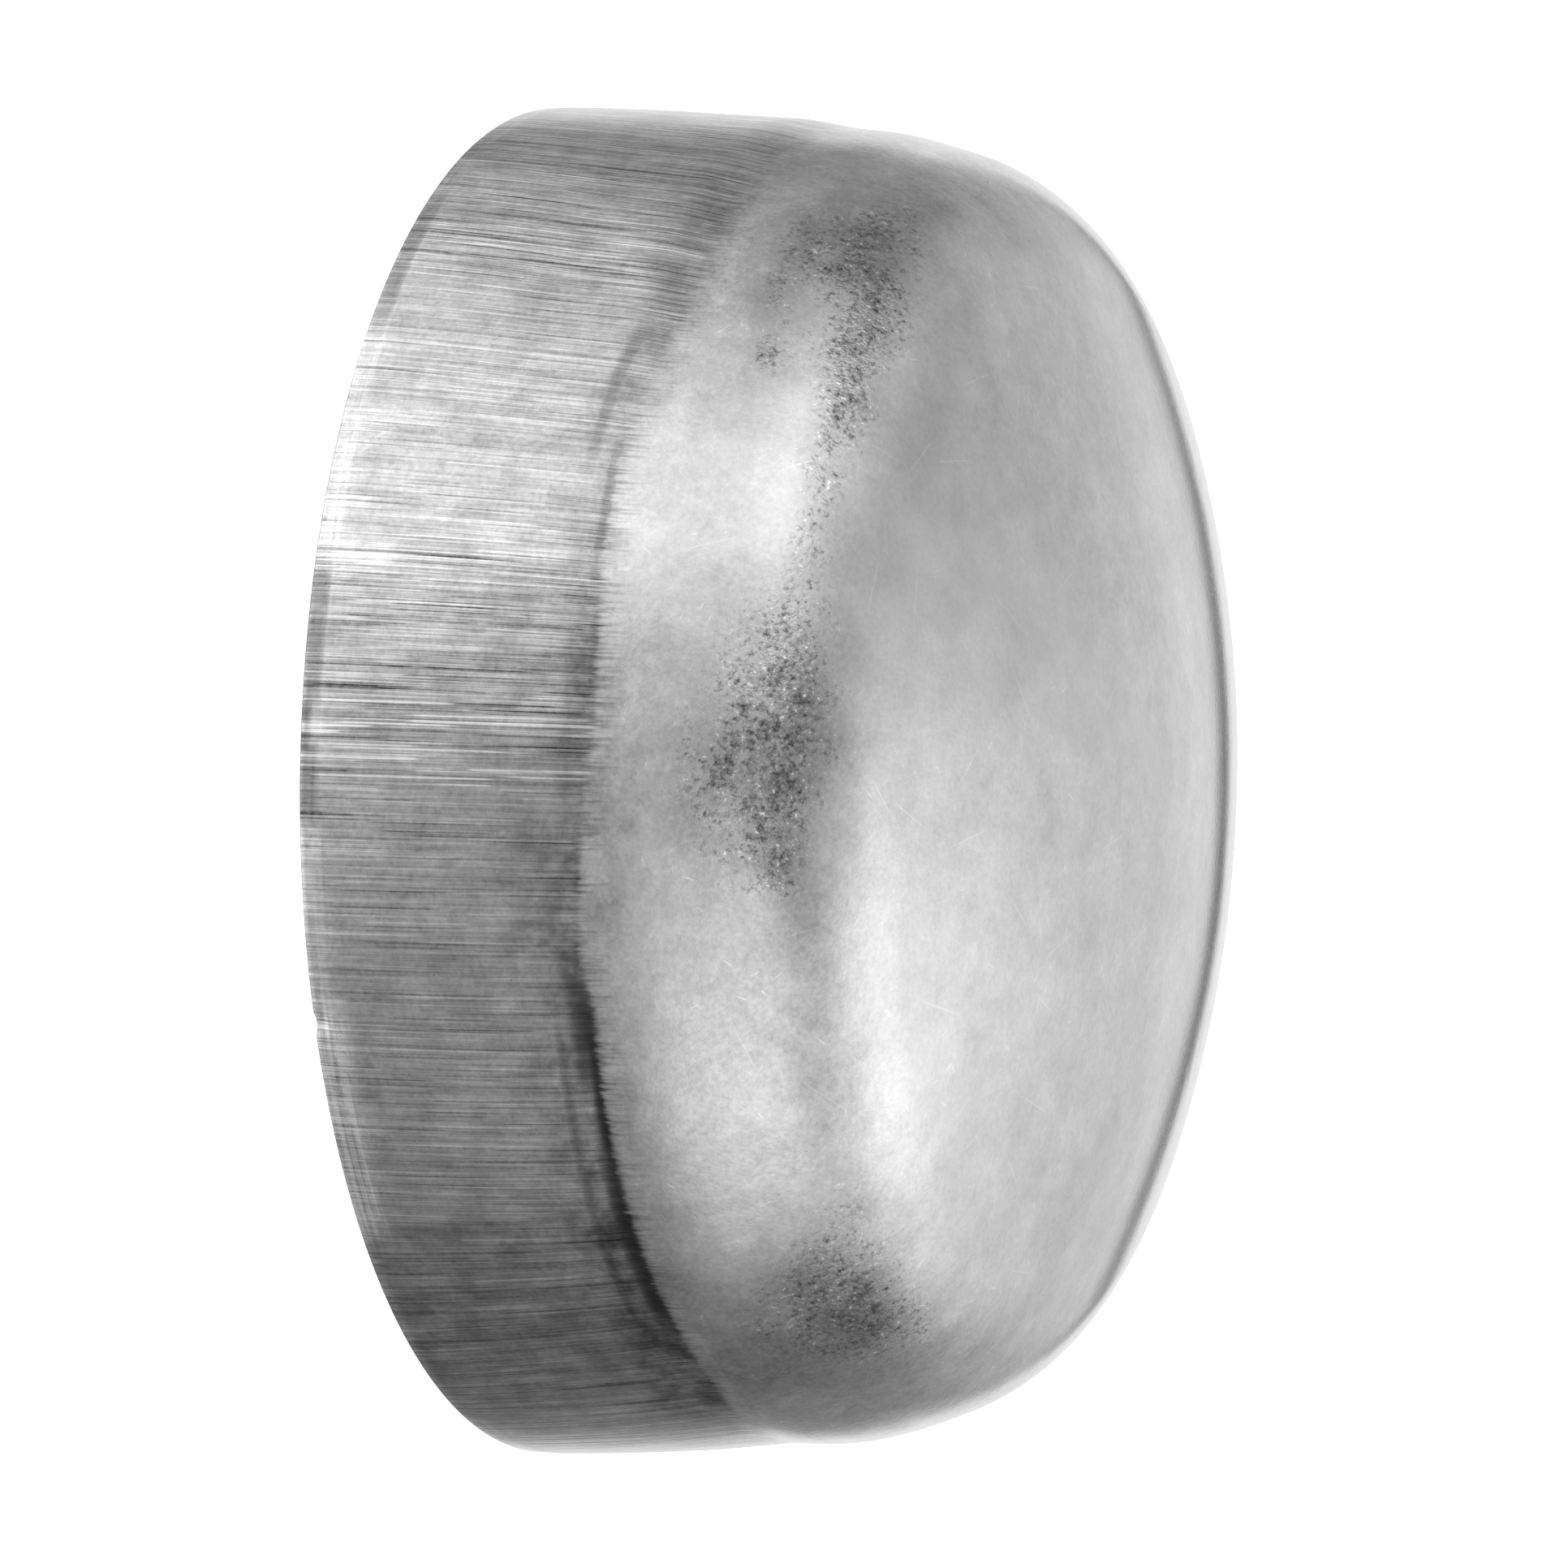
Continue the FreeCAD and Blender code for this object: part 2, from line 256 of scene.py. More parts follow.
class WeldCapFinish(bpy.types.PropertyGroup):
    """Colours and grain of the cap's finishes"""

    ground: tone("Ground steel", "Belt-ground skirt", "B1B1B1")
    blasted: tone("Blasted steel", "Satin dome", "C8C8C8")
    turned: tone("Turned steel", "End face", "BCBCBC")
    rough: tone("Rough skin", "Pits of the rough patches on the shoulder", "484848")
    # dirt and painted shade in the grooves beside the grinding
    grime: tone("Grime", "Dirt in the groove beside the grinding", "343434")
    inside: tone("Pickled steel", "Inside of the cap", "A8A8A8")
    belt_spacing: length("Belt mark spacing", "Distance between the belt's marks", 0.30)
    belt_run: length("Belt mark length", "Length of a belt mark along the axis", 8.0)
    grain: length("Blast grain", "Size of the blasted grain", 0.20)
    ground_roughness: share("Ground roughness", "Gloss of the ground skirt", 0.38)
    blasted_roughness: share("Blasted roughness", "Gloss of the satin dome", 0.39)


class WeldCapStudio(bpy.types.PropertyGroup):
    """The floor, light and camera"""

    floor: tone("Floor", "Plain pale floor", "F4F4F4")
    floor_glow: FloatProperty(name="Floor glow", description="Light that comes up through the floor",
                              default=0.8, min=0.0, max=2.0)
    floor_side: length("Floor side", "Side of the square floor", 6000.0)
    distance: length("Camera distance", "From the camera to the middle of the cap", 494.65)
    elevation: FloatProperty(name="Camera elevation", description="Angle above the floor",
                             default=math.radians(19.77), subtype="ANGLE", unit="ROTATION")
    lens: FloatProperty(name="Lens", description="Focal length in mm on a 36 mm sensor",
                        default=202.67, min=20.0)


def alone(piece):
    """Deselects everything, then makes one object selected and active."""
    bpy.ops.object.select_all(action="DESELECT")
    piece.select_set(True)
    bpy.context.view_layer.objects.active = piece


def tangent_centre(first, first_reach, second, second_reach, side):
    """The point at two given distances from two centres; side picks which of the two such points."""
    gap = second - first
    along = (gap.length_squared + first_reach ** 2 - second_reach ** 2) / (2 * gap.length)
    across = math.sqrt(first_reach ** 2 - along ** 2)
    unit = gap.normalized()
    return first + unit * along + Vector((-unit.y, unit.x)) * across * side


def from_centre(centre, towards, reach):
    """The point at a distance from a centre, on the line towards another point."""
    return centre + (towards - centre).normalized() * reach


def section_runs(sizes):
    """The shell's section from the top of the crown down the outside and up the inside.

    Each run is a name, the point where it ends, the centre it turns about, or None for a
    straight run, and its number of steps."""
    rim, top, wall = sizes.rim_radius, sizes.top, sizes.wall
    waist = Vector((rim - sizes.waist_drop, sizes.skirt_height))
    reach = math.sqrt(sizes.shoulder_arc ** 2 - sizes.shoulder_rise ** 2)
    shoulder_mid = Vector((waist.x - reach, waist.y - sizes.shoulder_rise))
    crown_mid = Vector((0.0, top - sizes.crown_arc))
    knuckle_mid = tangent_centre(crown_mid, sizes.crown_arc - sizes.knuckle_arc,
                                 shoulder_mid, sizes.shoulder_arc - sizes.knuckle_arc, -1)
    waist_mid = from_centre(shoulder_mid, waist, sizes.shoulder_arc + sizes.waist_arc)
    band_top = Vector((rim, sizes.band_height))
    skirt_mid = tangent_centre(band_top, sizes.skirt_arc,
                               waist_mid, sizes.skirt_arc + sizes.waist_arc, 1)
    skirt_top = from_centre(skirt_mid, waist_mid, sizes.skirt_arc)
    knuckle_foot = from_centre(shoulder_mid, knuckle_mid, sizes.shoulder_arc)
    knuckle_top = from_centre(crown_mid, knuckle_mid, sizes.crown_arc)

    def on_arc(centre, radius, height):
        rise = height - centre.y
        return Vector((centre.x + math.sqrt(radius ** 2 - rise ** 2), height))

    # the rows lie closer together round the grinding's edge, and one lies just above the band
    fine_top = on_arc(shoulder_mid, sizes.shoulder_arc, sizes.skirt_height + 1.8 * MM)
    fine_foot = on_arc(skirt_mid, sizes.skirt_arc, 12.6 * MM)
    band_line = on_arc(skirt_mid, sizes.skirt_arc, sizes.band_height + 0.12 * MM)
    face_out = Vector((rim - sizes.band_drop, 0.0))
    corner_top = face_out + (band_top - face_out).normalized() * sizes.corner
    corner_foot = face_out - Vector((sizes.corner, 0.0))
    corner_mid = corner_top + (corner_foot - face_out)
    bore = rim - wall
    land_top = Vector((bore, sizes.land_depth))
    inner = sizes.shoulder_arc - wall
    sight = land_top - shoulder_mid
    cone_angle = math.atan2(sight.y, sight.x) + math.acos(inner / sight.length)
    inner_foot = shoulder_mid + Vector((math.cos(cone_angle), math.sin(cone_angle))) * inner
    inner_knuckle_foot = from_centre(shoulder_mid, knuckle_mid, inner)
    inner_knuckle_top = from_centre(crown_mid, knuckle_mid, sizes.crown_arc - wall)

    return (
        ("crown", knuckle_top, crown_mid, 34),
        ("knuckle", knuckle_foot, knuckle_mid, 22),
        ("shoulder", fine_top, shoulder_mid, 14),
        ("shoulder", waist, shoulder_mid, 12),
        ("waist", skirt_top, waist_mid, 16),
        ("skirt", fine_foot, skirt_mid, 14),
        ("skirt", band_line, skirt_mid, 14),
        ("skirt", band_top, skirt_mid, 2),
        ("band", corner_top, None, 6),
        ("band", corner_foot, corner_mid, 3),
        ("face", Vector((bore + sizes.edge_break, 0.0)), None, 2),
        ("face", Vector((bore, sizes.edge_break)), None, 1),
        ("inside", land_top, None, 4),
        ("inside", inner_foot, None, 5),
        ("inside", inner_knuckle_foot, shoulder_mid, 7),
        ("inside", inner_knuckle_top, knuckle_mid, 10),
        ("inside", Vector((0.0, top - wall)), crown_mid, 14),
    )


def draw_section(name, sizes):
    """Draws the section in the XZ plane, as a point that is spun about each arc's centre in turn.

    Returns the object and the run that each of its points belongs to."""
    bpy.ops.object.select_all(action="DESELECT")
    bpy.ops.mesh.primitive_plane_add(size=MM, location=(0.0, 0.0, sizes.top))
    piece = bpy.context.object
    piece.name = piece.data.name = name
    bpy.ops.object.transform_apply(location=True, rotation=True, scale=True)
    bpy.ops.object.mode_set(mode="EDIT")
    bpy.ops.mesh.select_mode(type="VERT")
    bpy.ops.mesh.select_all(action="SELECT")
    bpy.ops.mesh.merge(type="CENTER")
    here = Vector((0.0, sizes.top))
    names = ["crown"]
    for run, end, centre, steps in section_runs(sizes):
        if centre is None:
            pace = (end - here) / steps
            move = {"value": (pace.x, 0.0, pace.y)}
            for _ in range(steps):
                bpy.ops.mesh.extrude_vertices_move(TRANSFORM_OT_translate=move)
        else:
            before, after = here - centre, end - centre
            sweep = math.atan2(before.cross(after), before.dot(after))
            bpy.ops.mesh.spin(steps=steps, angle=sweep, center=(centre.x, 0.0, centre.y),
                              axis=(0.0, 1.0, 0.0))
        names += [run] * steps
        here = end
    bpy.ops.object.mode_set(mode="OBJECT")
    points = piece.data.vertices
    miss = points[len(points) - 1].co - Vector((here.x, 0.0, here.y))
    if len(names) != len(points) or miss.length > 0.01 * MM:
        raise RuntimeError("the section didn't end where it should")
    return piece, names


def turn_section(piece, around):
    """Turns the section round the axis, closes its seam and poles, and points its faces outwards."""
    alone(piece)
    turn = piece.modifiers.new("turn", "SCREW")
    turn.axis, turn.angle, turn.screw_offset = "Z", 2 * math.pi, 0.0
    turn.steps = turn.render_steps = around
    turn.use_merge_vertices, turn.merge_threshold = True, 0.002 * MM
    bpy.ops.object.modifier_apply(modifier=turn.name)
    bpy.ops.object.mode_set(mode="EDIT")
    bpy.ops.mesh.select_all(action="SELECT")
    bpy.ops.mesh.remove_doubles(threshold=0.002 * MM)
    bpy.ops.mesh.normals_make_consistent(inside=False)
    bpy.ops.object.mode_set(mode="OBJECT")


def smooth(value, low, high):
    """0 below low, 1 above high, and a soft curve between."""
    t = np.clip((value - low) / (high - low), 0.0, 1.0)
    return t * t * (3.0 - 2.0 * t)


def angle_gap(angles, middle):
    """Degrees from a middle angle, the short way round."""
    return (angles - middle + 180.0) % 360.0 - 180.0


def window(angles, first, last, run_out):
    """1 between two angles in degrees and 0 outside, with a soft run-out at both."""
    gap = np.abs(angle_gap(angles, (first + last) / 2))
    return 1.0 - smooth(gap, (last - first) / 2 - run_out, (last - first) / 2 + run_out)


def at_angle(table, angles):
    """The value that a table of angles in degrees and values gives at each angle."""
    return np.interp(angles, *np.transpose(table), period=360.0)


def waves(points, size, seed):
    """A soft unevenness between -1 and 1 with bumps of about the given size, in mm."""
    draw = np.random.default_rng(seed)
    total = np.zeros(len(points))
    for _ in range(7):
        way = draw.normal(size=3)
        way /= np.linalg.norm(way)
        way *= 2 * math.pi / (size * draw.uniform(0.7, 1.5))
        total += np.sin(points @ way + draw.uniform(0, 2 * math.pi))
    return total / 4.0


def shape_shell(piece, rows, names, sizes):
    """Moves the points to give the marks of grinding and pressing, and stores where the finishes lie.

    rows holds the section's points as radius and height in mm, and names the run of each. Returns
    the run that each point belongs to, and its height above the edge of the grinding."""
    mesh = piece.data
    points = np.zeros(len(mesh.vertices) * 3)
    mesh.vertices.foreach_get("co", points)
    points = points.reshape(-1, 3) / MM
    radius, height = np.hypot(points[:, 0], points[:, 1]), points[:, 2].copy()
    angle = np.degrees(np.arctan2(points[:, 1], points[:, 0]))
    # each point belongs to the nearest row; a part at a time keeps the memory small
    parts = np.array_split(np.stack([radius, height], 1), 8)
    row = np.concatenate([((part[:, None] - rows) ** 2).sum(2).argmin(1) for part in parts])
    names = np.array(names)[row]
    dome = np.isin(names, ("crown", "knuckle", "shoulder"))
    outside = dome | np.isin(names, ("waist", "skirt", "band"))
    above, below = height - EDGE_ROW, EDGE_ROW - height
    band = sizes.band_height / MM

    # the waist follows the belt's edge
    follow = smooth(height, 9.5, 14.5) * (1.0 - smooth(height, 17.4, 23.0)) * outside
    lift = (at_angle(GRIND_EDGE, angle) - EDGE_ROW) * follow

    # the belt's step, its grooves and the long waves that it and the press leave
    sink = sizes.grind_step / MM * smooth(below, -0.6, 0.9) * (1.0 - smooth(below, 1.0, 6.0))
    for *span, place, half, depth in BELT_GROOVES:
        sink += depth * window(angle, *span) * np.exp(-((below - place) / half) ** 2)
    flat = points * (1.0, 1.0, 0.12)
    sink += sizes.belt_wave / MM * waves(flat, 6.0, 5) * smooth(below, 0.0, 1.0)
    sink += sizes.press_wave / MM * waves(points, 14.0, 11) * smooth(above, 0.0, 2.0)
    sink *= outside & (height > band - 0.2)

    start, full, fade, end, span, size, depth = FAR_BUMPS
    ring = smooth(height, start, full) * (1.0 - smooth(height, fade, end)) * window(angle, *span)
    sink += depth * waves(points, size, 23) * ring * dome

    sink += BAND_STEP * (1.0 - smooth(height, band - 0.1, band + 0.1)) * (1.0 - window(angle, *WORN_BAND))
    middle, half, depth = NICK
    nick = np.exp(-(angle_gap(angle, middle) / half) ** 2)
    sink += depth * nick * (1.0 - smooth(height, 0.3, band - 0.1)) * (names == "band")

    # each point sinks at right angles to the section
    slope = np.zeros((len(rows), 2))
    slope[1:-1] = rows[2:] - rows[:-2]
    slope[0], slope[-1] = rows[1] - rows[0], rows[-1] - rows[-2]
    slope /= np.linalg.norm(slope, axis=1)[:, None]
    points[:, :2] *= 1.0 + (sink * slope[row, 1] / np.maximum(radius, 1e-6))[:, None]
    points[:, 2] += lift - sink * slope[row, 0]

    # the dome is higher on the -X side, and shifted to +X
    fall, tilt, shift, push = ASKEW
    rise = points[:, 2] - (sizes.skirt_height / MM - fall)
    lean = smooth(rise, 0.0, 7.6)
    drop = tilt * points[:, 0] * lean
    push *= smooth(rise, -1.4, 2.6) * (1.0 - smooth(rise, 3.4, 9.0))
    points[:, 0] += shift * rise * lean + push
    points[:, 2] += drop

    mesh.vertices.foreach_set("co", (points * MM).ravel())
    mesh.update()
    store_finishes(mesh, angle, radius, height, outside, dome, band)
    return names, above


def store_finishes(mesh, angle, radius, height, outside, dome, band):
    """Stores where the finishes lie as attributes that the materials read.

    Angle, radius, height and whether it is outside and on the dome are given point by point, in
    degrees and mm, as they were before the marks; band is the height of the turned band."""
    above, below = height - EDGE_ROW, EDGE_ROW - height
    rough, cloud, grime, edge_stain, band_stain, heavy = np.zeros((6, len(angle)))
    # the rough patches are the plate's own; the clouds are painted highlights and painted shade
    for total, table in ((rough, ROUGH_PATCHES), (cloud, SATIN_CLOUDS)):
        for middle, level, half_run, half_width, strength in table:
            run = np.radians(angle_gap(angle, middle)) * radius / half_run
            across = (height - level) / (half_width * np.interp(level, *DOME_SLOPE))
            total += strength * np.exp(-0.8 * (run ** 2 + across ** 2)) * dome
    for *span, place, half, depth in BELT_GROOVES:
        # the deeper the groove, the darker its dirt and its painted shade, up to a depth of 0.075 mm
        stain = np.exp(-((below - place) / (1.15 * half)) ** 4) * min(1.0, (depth / 0.075) ** 0.6)
        grime = np.maximum(grime, window(angle, *span) * stain)
    # painted shade below the grinding's edge; the dull belt streaks join it
    for *span, strength, reach in EDGE_STAINS:
        beside = smooth(below, -0.2, 0.3) * (1.0 - smooth(below, 0.7, reach))
        edge_stain = np.maximum(edge_stain, strength * window(angle, *span) * beside)
    for *span, strength in DULL_PASSES:
        edge_stain = np.maximum(edge_stain, strength * window(angle, *span))
    # painted shade and painted highlights on the turned band
    for *span, level, strength in BAND_STAINS:
        band_stain += strength * window(angle, *span) * (1.0 - smooth(height, level - 0.3, level + 0.15))
    for span in HEAVY_PASSES:
        heavy = np.maximum(heavy, window(angle, *span))
    *span, cleaner = CLEAN_SATIN
    stored = {
        "above_grinding": above,
        "worn_satin": at_angle(WORN_SATIN, angle) * (1.0 - smooth(above, 0.0, 4.5)),
        "belt_turn": -np.radians(at_angle(BELT_LEAN, angle)) * height,
        "rough_patch": np.minimum(rough, 1.2),
        "satin_cloud": cloud,
        "satin_scuffs": 1.0 - cleaner * window(angle, *span),
        "groove_grime": grime * outside,
        "edge_stain": edge_stain * outside,
        "band_stain": band_stain * outside,
        "heavy_pass": heavy,
        "belt_bearing": at_angle(BELT_BEARING, angle),
        "on_band": (1.0 - smooth(height, band - 0.04, band + 0.08)) * (1.0 - window(angle, *WORN_BAND)),
    }
    for name, values in stored.items():
        attribute = mesh.attributes.new(name, "FLOAT", "POINT")
        attribute.data.foreach_set("value", values.astype(np.float32))


def node(tree, kind, links=None, **settings):
    """Adds a node with its settings; links gives each input a value, a node or a node's output.

    kind is Blender's name for the node without the word ShaderNode that all of them begin with. A Map
    Range node's inputs 1 and 2 are the values it maps from, and 3 and 4 those it maps to."""
    made = tree.nodes.new("ShaderNode" + kind)
    for name, value in settings.items():
        setattr(made, name, value)
    for key, value in (links or {}).items():
        by_name = (s for s in made.inputs if s.name == key and s.enabled)
        socket = made.inputs[key] if isinstance(key, int) else next(by_name)
        if isinstance(value, bpy.types.Node):
            value = next(s for s in value.outputs if s.enabled)
        if isinstance(value, bpy.types.NodeSocket):
            tree.links.new(value, socket)
        else:
            socket.default_value = value
    return made


def new_material(name):
    """An empty node material, and what adds a node to it."""
    material = bpy.data.materials.new(name)
    material.use_nodes = True
    material.node_tree.nodes.clear()
    return material, partial(node, material.node_tree)


def layered(add, base, *terms):
    """A base level plus terms, each a weight times one or more patterns multiplied together."""
    total = base
    for weight, pattern, *others in terms:
        for other in others:
            pattern = add("Math", {0: pattern, 1: other}, operation="MULTIPLY")
        total = add("Math", {0: pattern, 1: weight, 2: total}, operation="MULTIPLY_ADD")
    return total


def belt_marks(add, lie, width, run, detail):
    """Marks of a belt along the axis, of a width and a run in mm, between about -1 and 1."""
    marks = add("Mapping", {"Vector": lie, "Scale": (1.0 / width, 1.0 / width, 1.0 / run)})
    return add("TexNoise", {"Vector": marks, "Scale": 1.0, "Detail": detail}, normalize=False)


def rim_place(add, mm, turn):
    """Place in mm as if all of the skirt had the rim's radius, turned by the belt's lean."""
    way = add("VectorMath", {0: mm, 1: (1.0, 1.0, 0.0)}, operation="MULTIPLY")
    way = add("VectorMath", {0: way}, operation="NORMALIZE")
    rise = add("VectorMath", {0: mm, 1: (0.0, 0.0, 1.0)}, operation="MULTIPLY")
    rim = (RIM_RADIUS / MM,) * 3
    place = add("VectorMath", {0: way, 1: rim, 2: rise}, operation="MULTIPLY_ADD")
    return add("VectorRotate", {"Vector": place, "Angle": turn}, rotation_type="Z_AXIS")


def belt_lines(add, lie, width, run):
    """Lines of single grains along the axis, one to a strip, of a width and a run in mm.

    Each lies between -1, dark, and 1, bright, and most are faint."""
    across, ahead, height = add("SeparateXYZ", {0: lie}).outputs
    angle = add("Math", {0: ahead, 1: across}, operation="ARCTAN2")
    strip = add("Math", {0: angle, 1: RIM_RADIUS / MM / width}, operation="MULTIPLY")
    column = add("Math", {0: strip}, operation="FLOOR")
    start = add("TexWhiteNoise", {"W": column}, noise_dimensions="1D")
    pace = layered(add, 0.0, (1.0 / run, height), (9.0, start))
    piece = add("Math", {0: pace}, operation="FLOOR")
    spot = add("CombineXYZ", {0: column, 1: piece})
    pick = add("TexWhiteNoise", {"Vector": spot}, noise_dimensions="2D")
    value = add("Math", {0: layered(add, -1.0, (2.0, pick)), 1: 3.0}, operation="POWER")
    fades = []
    for part, soft in ((strip, 0.30), (pace, 0.12)):
        edge = add("Math", {0: part, 1: 0.5}, operation="PINGPONG")
        fades.append(add("MapRange", {0: edge, 1: 0.0, 2: soft}))
    return layered(add, 0.0, (1.0, value, *fades))


def strokes_and_specks(add, mm, cell, half_width, half_run, speck):
    """Fine scratches in the surface, one to a cell and each its own way, and specks in other cells.

    Both are 1 on a mark and 0 off it; speck is the specks' radius, and all sizes are in mm."""
    normal = add("NewGeometry").outputs["Normal"]
    cells = add("TexVoronoi", {"Vector": mm, "Scale": 1.0 / cell})
    middle, chance = cells.outputs["Position"], cells.outputs["Color"]
    off = add("VectorMath", {0: mm, 1: middle}, operation="SUBTRACT")
    way = add("VectorMath", {0: chance, 1: (0.5, 0.5, 0.5)}, operation="SUBTRACT")
    cross = add("VectorMath", {0: way, 1: normal}, operation="CROSS_PRODUCT")
    side = add("VectorMath", {0: cross}, operation="NORMALIZE")
    along = add("VectorMath", {0: side, 1: normal}, operation="CROSS_PRODUCT")
    marks = []
    for direction, half in ((side, half_width), (along, half_run)):
        reach = add("VectorMath", {0: off, 1: direction}, operation="DOT_PRODUCT")
        size = add("Math", {0: reach}, operation="ABSOLUTE")
        marks.append(add("MapRange", {0: size, 1: half, 2: 0.4 * half}))
    # 42 cells of 100 have a scratch and 35 of 100 a speck
    picked = add("SeparateColor", {0: chance}).outputs["Green"]
    has_stroke = add("Math", {0: picked, 1: 0.42}, operation="LESS_THAN")
    has_speck = add("Math", {0: picked, 1: 0.65}, operation="GREATER_THAN")
    near = add("VectorMath", {0: off}, operation="LENGTH")
    dot = add("MapRange", {0: near, 1: speck, 2: 0.4 * speck})
    return layered(add, 0.0, (1.0, *marks, has_stroke)), layered(add, 0.0, (1.0, dot, has_speck))


def belt_ground(add, mm, finish):
    """Colour, gloss and relief in mm of stainless ground along the axis with a coarse belt.

    The grit left lines a few tenths of a mm apart and many mm long, light or dark by their slope, with a few
    strong ones and soft blotches from the belt's pressure. Below the dome's edge the steel is darker, as
    painted shade, the turned band carries painted shade and painted highlights, and the grooves carry dirt
    and painted shade."""
    spacing, run = finish.belt_spacing / MM, finish.belt_run / MM
    heavy, bearing, turn, on_band, band_stain, edge_stain, grime = (
        add("Attribute", attribute_name=name).outputs["Fac"]
        for name in ("heavy_pass", "belt_bearing", "belt_turn", "on_band", "band_stain", "edge_stain",
                     "groove_grime"))
    lie = rim_place(add, mm, turn)
    # the finest marks are 0.11 mm wide, coarser than the grit's own, so that they show
    fine = belt_marks(add, lie, 0.4 * spacing, 1.0 * run, 1.0)
    middle = belt_marks(add, lie, spacing, 3.0 * run, 0.0)
    broad = belt_marks(add, lie, 4.0 * spacing, 5.0 * run, 1.0)
    broken = belt_marks(add, lie, 1.6 * spacing, 0.8 * run, 1.0)
    thin = belt_lines(add, lie, 0.37 * spacing, 0.8 * run)
    wide = belt_lines(add, lie, 0.66 * spacing, 1.3 * run)
    # single grains that stood out of the belt left long thin scratches
    deep = belt_lines(add, lie, 0.55 * spacing, 1.4 * run)
    is_bright = add("MapRange", {0: layered(add, deep, (0.60, heavy)), 1: 0.62, 2: 0.90})
    unbroken = add("MapRange", {0: layered(add, broken, (0.5, heavy)), 1: -0.2, 2: 0.2})
    bright = layered(add, 0.0, (1.0, is_bright, unbroken))
    is_dark = add("MapRange", {0: deep, 1: -0.5, 2: -0.8})
    unbroken = add("MapRange", {0: broken, 1: 0.15, 2: -0.25})
    dark = layered(add, 0.0, (1.0, is_dark, unbroken))
    # soft clouds 2.2 mm across, and a speckle of 0.3 mm
    cloud, speckle = (
        add("TexNoise", {"Vector": mm, "Scale": 1.0 / size, "Detail": detail,
                         "Roughness": roughness}, normalize=False)
        for size, detail, roughness in ((2.2, 3.0, 0.65), (0.30, 2.0, 0.8)))
    dots = add("MapRange", {0: speckle, 1: 0.95, 2: 1.15})
    # rings of 0.2 mm, left by the turning tool on the band
    rings = add("Mapping", {"Vector": mm, "Scale": (0.1, 0.1, 4.5)})
    rings = add("TexNoise", {"Vector": rings, "Scale": 1.0, "Detail": 1.0}, normalize=False)
    lines = layered(add, 0.0, (0.30, fine), (0.13, middle), (0.56, thin), (0.32, wide), (-0.36, dark))
    marks = layered(add, 1.0, (1.0, lines, bearing), (0.10, broad), (0.15, speckle), (-0.5, dots),
                    (0.18, rings, on_band), (-0.45, rings, band_stain))
    blotch = add("MapRange", {0: cloud, 1: -0.8, 2: 0.6, 3: 0.80, 4: 1.10})
    cloudy = add("MapRange", {0: cloud, 1: -0.6, 2: 0.5, 3: 1.0, 4: 0.5})
    # painted shade below the dome's edge, dull belt streaks, and painted shade and highlights on the turned
    # band
    stain = layered(add, 1.0, (-0.62, edge_stain, cloudy), (-1.0, band_stain))
    level = layered(add, 0.0, (1.0, marks, blotch, stain), (0.42, bright), (0.48, bright, heavy),
                    (-0.45, bright, heavy, on_band))
    colour = add("VectorMath", {0: tuple(finish.ground)[:3], "Scale": level}, operation="SCALE")
    # the grooves take dirt and painted shade, darker the deeper they are
    caked = layered(add, grime, (0.20, broken), (0.16, cloud))
    caked = add("MapRange", {0: caked, 1: 0.10, 2: 1.05, 4: 0.90})
    colour = add("Mix", {"Factor": caked, "A": colour, "B": tuple(finish.grime)}, data_type="RGBA")
    gloss = layered(add, finish.ground_roughness, (-0.06, middle))
    relief = layered(add, 0.0, (0.0065, fine))
    return colour, gloss, relief


